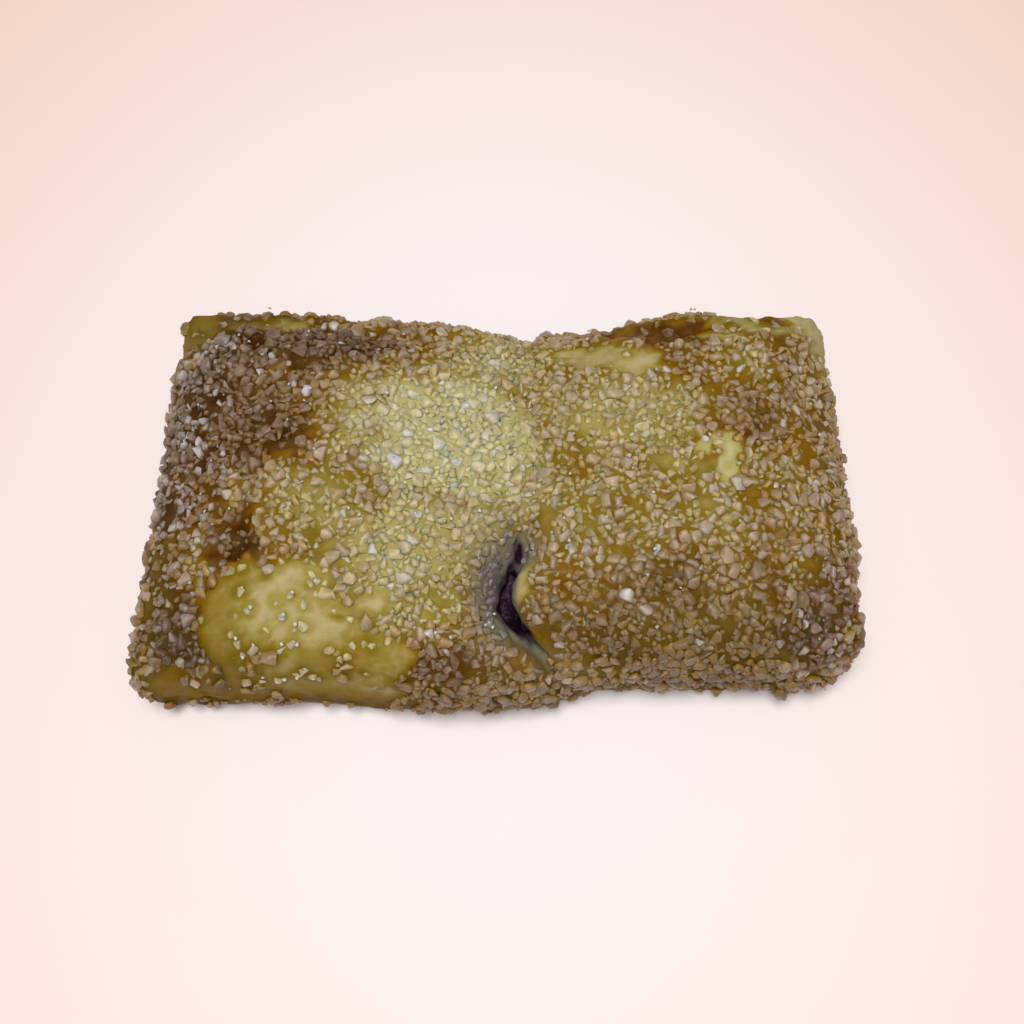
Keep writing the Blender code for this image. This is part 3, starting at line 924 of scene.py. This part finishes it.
def buildSugar(name, grains, shapes, rng):
    verts, faces, tints, sides = [], [], [], []
    count = 0
    places = np.array([grain[1] for grain in grains])
    bakes = bakeAt(places)[0]
    below = doughTone(bakes)
    stains = np.minimum(1.0, 1.6 * stainAt(places[:, 0], places[:, 1]))[:, None]
    below = below * (1 - stains) + np.array(crustLook["smudge"]) * 0.7 * stains
    speckle = np.random.RandomState(len(grains))
    for (kind, place, out, size, marked), bake, under in zip(grains, bakes, below):
        shape, tris = rng.choice(shapes)
        spin = Matrix.Rotation(rng.uniform(0, math.tau), 3, "Z")
        tip = Vector((0, 0, 1)).rotation_difference(out).to_matrix()
        turned = np.array(tip @ spin @ Matrix.Rotation(rng.gauss(0, 0.4), 3, "X"))
        proud = sugar["proud"] * ramp(0.6, 0.2, out.z)
        rise = size * (rng.uniform(*sugar["sunk"]) + proud)
        centre = place + out * (sugar["glintRise"] if marked == "paintedGlint" else rise)
        placed = shape @ turned.T * size
        verts.append(placed + np.array(centre))
        faces.append(tris + count)
        count += len(shape)
        sides.append(len(tris))
        # the clear crystal takes the tone of the dough round its foot
        above = smooth(-0.12, 0.4, placed @ np.array(out) / size)[:, None]
        clear = 0.15 if marked else rng.uniform(*sugar["clearness"]) * (0.3 + 0.7 * ramp(0.2, 0.6, out.z))
        above = above * (1 - clear * speckle.rand(len(shape), 1))
        tint = np.array(sugarTint(place, float(bake), kind == "coarse", marked, rng))
        mixed = under * (1 - above) * 1.25 + tint * above
        syrupy = 0.0 if marked else ramp(0.2, 0.6, out.z) * (0.5 if kind == "coarse" else 1.0)
        tints.append(np.column_stack([mixed, np.full(len(shape), syrupy)]))
    verts, faces, tints = np.concatenate(verts), np.concatenate(faces), np.concatenate(tints)
    mesh = bpy.data.meshes.new(name)
    mesh.vertices.add(len(verts))
    mesh.vertices.foreach_set("co", (verts * mm).astype(np.float32).ravel())
    mesh.loops.add(len(faces) * 3)
    mesh.loops.foreach_set("vertex_index", faces.astype(np.int32).ravel())
    mesh.polygons.add(len(faces))
    mesh.polygons.foreach_set("loop_start", np.arange(0, len(faces) * 3, 3, dtype=np.int32))
    mesh.update(calc_edges=True)
    if name != "sugar_fine":
        worn = np.repeat(speckle.rand(len(grains)) < sugar["worn"], sides)
        mesh.polygons.foreach_set("use_smooth", worn)
    colorAttribute(mesh, "tint", np.clip(tints, 0, 1))
    print(" ", name, len(grains), "crystals,", len(faces), "triangles")
    return addObject(name, mesh)


print("sugar")
rng = random.Random(sugar["seed"])
grains = scatterSugar(crust, rng)
bevelled = crystalShapes(rng, 0.06)
plainCut = crystalShapes(rng, 0.0)
sugarPieces = []
for kind, shapes in (("coarse", bevelled), ("middling", plainCut), ("fine", plainCut)):
    sugarPieces.append(buildSugar("sugar_" + kind, [g for g in grains if g[0] == kind], shapes, rng))


# Crust: the dough closes up round the crystals, and its tones
halos = {"reach": 0.75, "height": 0.27}


def finishCrust(crust, grains):
    mesh = crust.data
    coords = coordsOf(mesh)
    normals = normalsOf(mesh)
    tree = kdtree.KDTree(len(grains))
    for i, (_, place, _, _, _) in enumerate(grains):
        tree.insert(place, i)
    tree.balance()
    halo = np.zeros(len(coords))
    for i, p in enumerate(coords):
        near = min(distance - grains[index][3] * 0.5 for _, index, distance in tree.find_n(p, 3))
        halo[i] = math.exp(-((max(0.0, near) / halos["reach"]) ** 2))
    coords = coords + normals * (halo * halos["height"] * smooth(1.0, 3.0, coords[:, 2]))[:, None]
    moveTo(mesh, coords)

    x, y, z = coords.T
    bake, bare, pale = bakeAt(coords)
    bake = bake + (baking["foot"] - bake) * smooth(1.5, 0.0, z)
    floatAttribute(mesh, "bake", bake)
    palest = 0.95 * bare * nearKnot(x, y)
    floatAttribute(mesh, "syrup", np.maximum(palest, pale * (1 - bare) * smooth(0.5, 0.1, bake)))
    floatAttribute(mesh, "halo", halo * np.clip(0.3 + 1.6 * bake + 0.4 * bare, 0.0, 1.0))
    # rim: painted shade, darker on the sides below the shoulder and on the border
    floatAttribute(mesh, "rim", np.maximum(smooth(15.0, 5.0, z), 0.85 * paintedShadeAt(x, y)) * (1 - 0.4 * bare))
    past = x - np.array([seamX(b, c) for b, c in zip(y, z)])
    reach = 4.0 * smooth(-20.0, -17.5, y)  # above the lip the juice is on the right too
    stain = juice["drawnIn"] * stainAt(x, y) * smooth(1.2, 0.0, past - reach) * smooth(10, 14, z)
    # the gape's inner wall under the lip and the pinholes are painted near black: juice with painted shade in
    # the recess
    along = np.exp(-(((y + 22.5) / 6.5) ** 2))
    deep = along * smooth(19.6, 16.8, z) * (np.abs(past) < 6) * smooth(-4.2, -1.5, past)
    holes = sum(juice["holeDepth"] * humpOver(x, y, *hole) for hole in juice["holes"])
    floatAttribute(mesh, "stain", np.clip(stain + deep + holes, 0, 1))
    mesh.shade_smooth()


finishCrust(crust, grains)
print("tones")


# Berry filling
jam = {"lumpSize": 3.2, "lumps": 0.9, "sunk": 0.55, "grain": 0.25}


def buildFilling():
    bm = slicedCube(*innerStations, 4)
    for vert in bm.verts:
        vert.co = hollowPoint(*vert.co, hollow["clearance"])
        if vert.co.z > 14:
            p = vert.co.copy()
            near = noise.voronoi(p / jam["lumpSize"])[0][0]
            lump = jam["lumps"] * max(0.0, 1 - near / 0.7)
            vert.co.z += lump - jam["sunk"] + jam["grain"] * noise.noise(p / 1.6)
    filling = meshObject("berry_filling", bm)
    filling.data.shade_smooth()
    return filling


filling = buildFilling()
print("filling")


# Materials
def addNode(tree, kind, place, **values):
    node = tree.nodes.new(kind)
    node.location = place
    for name, value in values.items():
        if name in node.inputs:
            node.inputs[name].default_value = value
        else:
            setattr(node, name, value)
    return node


def unevenGroup():
    # soft unevenness for dough, sugar and jam: a tone and a height
    group = bpy.data.node_groups.new("uneven", "ShaderNodeTree")
    for name, value in (("Size", 100), ("Fine", 0.5)):
        socket = group.interface.new_socket(name, in_out="INPUT", socket_type="NodeSocketFloat")
        socket.default_value = value
    for name in ("Tone", "Height"):
        group.interface.new_socket(name, in_out="OUTPUT", socket_type="NodeSocketFloat")
    start = addNode(group, "NodeGroupInput", (-700, 0))
    end = addNode(group, "NodeGroupOutput", (300, 0))
    place = addNode(group, "ShaderNodeTexCoord", (-700, 200))
    wide = addNode(group, "ShaderNodeTexNoise", (-400, 200), Detail=3.0, Roughness=0.55)
    close = addNode(group, "ShaderNodeTexNoise", (-400, -150), Detail=4.0, Roughness=0.6)
    larger = addNode(group, "ShaderNodeMath", (-550, -150), operation="MULTIPLY")
    larger.inputs[1].default_value = 4.3
    mixed = addNode(group, "ShaderNodeMix", (-100, 0), data_type="FLOAT")
    link = group.links.new
    link(place.outputs["Object"], wide.inputs["Vector"])
    link(place.outputs["Object"], close.inputs["Vector"])
    link(start.outputs["Size"], wide.inputs["Scale"])
    link(start.outputs["Size"], larger.inputs[0])
    link(larger.outputs[0], close.inputs["Scale"])
    link(start.outputs["Fine"], mixed.inputs[0])
    link(wide.outputs["Fac"], mixed.inputs[2])
    link(close.outputs["Fac"], mixed.inputs[3])
    link(wide.outputs["Fac"], end.inputs["Tone"])
    link(mixed.outputs[0], end.inputs["Height"])
    return group


def newMaterial(name, surface):
    material = bpy.data.materials.new(name)
    material.use_nodes = True
    tree = material.node_tree
    shader = tree.nodes["Principled BSDF"]
    shader.location = (300, 300)
    for socket, value in surface.items():
        shader.inputs[socket].default_value = value
    return material, tree, shader


def useGroup(tree, group, place, **values):
    node = addNode(tree, "ShaderNodeGroup", place)
    node.node_tree = group
    for name, value in values.items():
        node.inputs[name].default_value = value
    return node


def feed(tree, sockets, values):
    # another node's socket is linked, anything else is the fixed value
    for socket, value in zip(sockets, values):
        if isinstance(value, bpy.types.NodeSocket):
            tree.links.new(value, socket)
        else:
            socket.default_value = value


def addMix(tree, place, factor, first, second, blend="MIX"):
    node = addNode(tree, "ShaderNodeMix", place, data_type="RGBA", blend_type=blend)
    feed(tree, (node.inputs[0], node.inputs[6], node.inputs[7]), (factor, first, second))
    return node.outputs[2]


def addMath(tree, operation, *values, clamp=False):
    node = tree.nodes.new("ShaderNodeMath")
    node.operation = operation
    node.use_clamp = clamp
    feed(tree, node.inputs, values)
    return node.outputs[0]


def addRange(tree, place, value, start, full, reach=1.0):
    # 0 at start and reach where it is full
    limits = {"From Min": start, "From Max": full, "To Max": reach}
    node = addNode(tree, "ShaderNodeMapRange", place, **limits)
    tree.links.new(value, node.inputs["Value"])
    return node.outputs[0]


def addBump(tree, shader, height, look):
    strength, distance = look["bump"]
    bump = addNode(tree, "ShaderNodeBump", (0, -300), Strength=strength, Distance=distance)
    tree.links.new(height, bump.inputs["Height"])
    tree.links.new(bump.outputs["Normal"], shader.inputs["Normal"])


def addRamp(tree, place, value, stops, tones):
    node = addNode(tree, "ShaderNodeValToRGB", place)
    elements = node.color_ramp.elements
    for _ in range(len(stops) - 2):
        elements.new(0.5)
    for element, stop, tone in zip(elements, stops, tones):
        element.position = stop
        element.color = tone
    tree.links.new(value, node.inputs["Fac"])
    return node.outputs["Color"]


def crustMaterial(uneven):
    material, tree, shader = newMaterial("baked_crust", crustLook["surface"])
    painted = {}
    for row, name in enumerate(("bake", "syrup", "halo", "crumb", "rim", "stain")):
        node = addNode(tree, "ShaderNodeAttribute", (-1400, 300 - 150 * row), attribute_name=name)
        painted[name] = node.outputs["Fac"]
    opaque = {name: (*crustLook[name], 1) for name in (*bakingSteps, "syrup", "haloTone", "crumb", "rim")}
    wide = useGroup(tree, uneven, (-1400, 600), Size=110, Fine=0.5)
    fine = useGroup(tree, uneven, (-1400, -700), Size=520, Fine=0.6)
    shift = addMath(tree, "MULTIPLY", addMath(tree, "SUBTRACT", wide.outputs["Tone"], 0.5), 0.5)
    shiftFine = addMath(tree, "MULTIPLY", addMath(tree, "SUBTRACT", fine.outputs["Tone"], 0.5), 0.4)
    tone = addMath(tree, "ADD", painted["bake"], addMath(tree, "ADD", shift, shiftFine), clamp=True)
    steps = [opaque[name] for name in bakingSteps]
    color = addRamp(tree, (-900, 300), tone, crustLook["stops"], steps)
    color = addMix(tree, (-750, 300), painted["syrup"], color, opaque["syrup"])
    ring = addMath(tree, "MULTIPLY", painted["halo"], 0.9)
    color = addMix(tree, (-600, 300), ring, color, opaque["haloTone"], "MULTIPLY")
    sugared = addMath(tree, "MULTIPLY", painted["crumb"], crustLook["crumbShare"])
    lighter = addMix(tree, (-600, 100), 0.55, color, opaque["crumb"])
    color = addMix(tree, (-450, 300), sugared, color, lighter)
    # painted shade on the sides and the border, from the rim attribute
    border = addMath(tree, "MULTIPLY", painted["rim"], 0.8)
    color = addMix(tree, (-300, 300), border, color, opaque["rim"])
    for step, (name, begins, full) in enumerate(crustLook["stains"]):
        share = addRange(tree, (-900, -450 - 200 * step), painted["stain"], begins, full)
        color = addMix(tree, (-150 + 150 * step, 300), share, color, (*crustLook[name], 1))
    tree.links.new(color, shader.inputs["Base Color"])
    glaze = addMath(tree, "MULTIPLY", tone, crustLook["glaze"], clamp=True)
    tree.links.new(glaze, shader.inputs["Coat Weight"])
    addBump(tree, shader, fine.outputs["Height"], crustLook)
    return material


sugarLook = {
    "surface": {
        "Transmission Weight": 0.1,
        "IOR": 1.42,
        "Specular IOR Level": 0.35,
        "Subsurface Weight": 0.85,
        "Subsurface Radius": (0.0016, 0.0012, 0.0008),
        "Subsurface Scale": 1.0,
    },
    "cloud": (0.6, 0.7),  # the tint is multiplied by noise times the first, plus the second
    "roughness": (0.4, -0.03),
    "amber": 0.9,
    "amberPatches": (0.48, 0.66),
    "amberTone": (0.88, 0.74, 0.3, 1),  # times the crystal's tint, where syrup shows through
    "bump": (0.55, 0.0003),
}


def sugarMaterial(uneven):
    material, tree, shader = newMaterial("clear_sugar", sugarLook["surface"])
    tint = addNode(tree, "ShaderNodeAttribute", (-900, 300), attribute_name="tint")
    cloud = useGroup(tree, uneven, (-900, 0), Size=900, Fine=0.5)
    clusters = useGroup(tree, uneven, (-900, -300), Size=520, Fine=0.5)
    dim = addMath(tree, "MULTIPLY_ADD", cloud.outputs["Tone"], *sugarLook["cloud"])
    tone = addMix(tree, (-400, 300), 1.0, tint.outputs["Color"], dim, "MULTIPLY")
    amber = addRange(
        tree, (-650, -300), clusters.outputs["Height"], *sugarLook["amberPatches"], sugarLook["amber"]
    )
    patches = addMath(tree, "MULTIPLY", amber, tint.outputs["Alpha"])
    tone = addMix(tree, (-200, 300), patches, tone, sugarLook["amberTone"], "MULTIPLY")
    tree.links.new(tone, shader.inputs["Base Color"])
    rough = addMath(tree, "MULTIPLY_ADD", cloud.outputs["Height"], *sugarLook["roughness"])
    tree.links.new(rough, shader.inputs["Roughness"])
    addBump(tree, shader, cloud.outputs["Height"], sugarLook)
    return material


jamLook = {
    "deep": (0.006, 0.001, 0.005, 1),
    "pulp": (0.085, 0.045, 0.075, 1),
    "pulpFrom": (0.45, 0.65),
    "surface": {"Roughness": 0.55, "Specular IOR Level": 0.05},
    "bump": (0.5, 0.0004),
}


def jamMaterial(uneven):
    material, tree, shader = newMaterial("berry_jam", jamLook["surface"])
    pulp = useGroup(tree, uneven, (-900, 0), Size=350, Fine=0.5)
    seeds = addRange(tree, (-600, 150), pulp.outputs["Height"], *jamLook["pulpFrom"])
    color = addMix(tree, (-300, 300), seeds, jamLook["deep"], jamLook["pulp"])
    tree.links.new(color, shader.inputs["Base Color"])
    addBump(tree, shader, pulp.outputs["Height"], jamLook)
    return material


uneven = unevenGroup()
crust.data.materials.clear()
crust.data.materials.append(crustMaterial(uneven))
sugarFinish = sugarMaterial(uneven)
for piece in sugarPieces:
    piece.data.materials.append(sugarFinish)
filling.data.materials.append(jamMaterial(uneven))
print("materials")


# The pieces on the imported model
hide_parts("pastry")
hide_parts("filling")
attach(crust, "root")
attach(filling, "root")
for piece in sugarPieces:
    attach(piece, "root")


# Floor, light and camera
studio = {
    # the floor's tones from the middle outwards, a pale pink with a painted pool of light, lightest in the
    # middle, and how far out in metres each one is reached
    "floorTonesAndLightPool": ((0.985, 0.912, 0.908, 1), (0.98, 0.83, 0.79, 1), (0.93, 0.68, 0.58, 1)),
    "floorStops": (0.05, 0.11, 0.21),
    "floorStretch": (1.35, 1, 1),
    "floorSurface": {"Roughness": 0.9, "Specular IOR Level": 0.1},
    "worldTone": (1.0, 0.97, 0.96, 1),
    "worldStrength": 0.2,
    "keyStrength": 2.26,
    "keySpread": 26,  # degrees
    "keyAim": (0.08, 0.24, -1),
    "flashPower": 0.16,
    "flashSize": 0.02,
    "flashPlace": (0.02, -0.17, 0.33),
    "flashTarget": (0, 0, 0.01),
}
camera = {
    "place": (1.8, -130.1, 252.4),
    "target": (1.8, -3.3, 14.0),
    "lens": 55.8,
}


def buildFloor():
    bm = bmesh.new()
    bmesh.ops.create_grid(bm, x_segments=8, y_segments=8, size=2.0)
    mesh = bpy.data.meshes.new("floor")
    bm.to_mesh(mesh)
    bm.free()
    floor = addObject("floor", mesh)
    floor.location.z = -0.0002  # clear of the pastry's underside
    material, tree, shader = newMaterial("pale_floor", studio["floorSurface"])
    link = tree.links.new
    place = addNode(tree, "ShaderNodeTexCoord", (-1000, 0))
    wider = addNode(tree, "ShaderNodeVectorMath", (-900, 0), operation="MULTIPLY")
    wider.inputs[1].default_value = studio["floorStretch"]
    reach = addNode(tree, "ShaderNodeVectorMath", (-800, 0), operation="LENGTH")
    link(place.outputs["Object"], wider.inputs[0])
    link(wider.outputs["Vector"], reach.inputs[0])
    # painted pool of light: the floor is lightest in the middle
    stops, tones = studio["floorStops"], studio["floorTonesAndLightPool"]
    link(addRamp(tree, (-500, 0), reach.outputs["Value"], stops, tones), shader.inputs["Base Color"])
    mesh.materials.append(material)


def aim(obj, direction):
    obj.rotation_euler = direction.to_track_quat("-Z", "Y").to_euler()


def buildLights():
    sun = bpy.data.lights.new("key", "SUN")
    sun.energy = studio["keyStrength"]
    sun.angle = math.radians(studio["keySpread"])
    aim(addObject("key", sun), Vector(studio["keyAim"]))
    light = bpy.data.lights.new("flash", "AREA")
    light.shape = "DISK"
    light.size = studio["flashSize"]
    light.energy = studio["flashPower"]
    flash = addObject("flash", light)
    flash.location = studio["flashPlace"]
    aim(flash, Vector(studio["flashTarget"]) - Vector(studio["flashPlace"]))


buildFloor()
buildLights()
world = bpy.data.worlds.new("studio")
world.use_nodes = True
background = world.node_tree.nodes["Background"]
background.inputs["Color"].default_value = studio["worldTone"]
background.inputs["Strength"].default_value = studio["worldStrength"]
bpy.context.scene.world = world
bpy.context.scene.view_settings.view_transform = "Standard"

lens = bpy.data.cameras.new("camera")
lens.sensor_width = 36
lens.lens = camera["lens"]
lens.clip_start = 0.01
eye = addObject("camera", lens)
eye.location = Vector(camera["place"]) * mm
aim(eye, Vector(camera["target"]) - Vector(camera["place"]))
bpy.context.scene.camera = eye
print("studio")
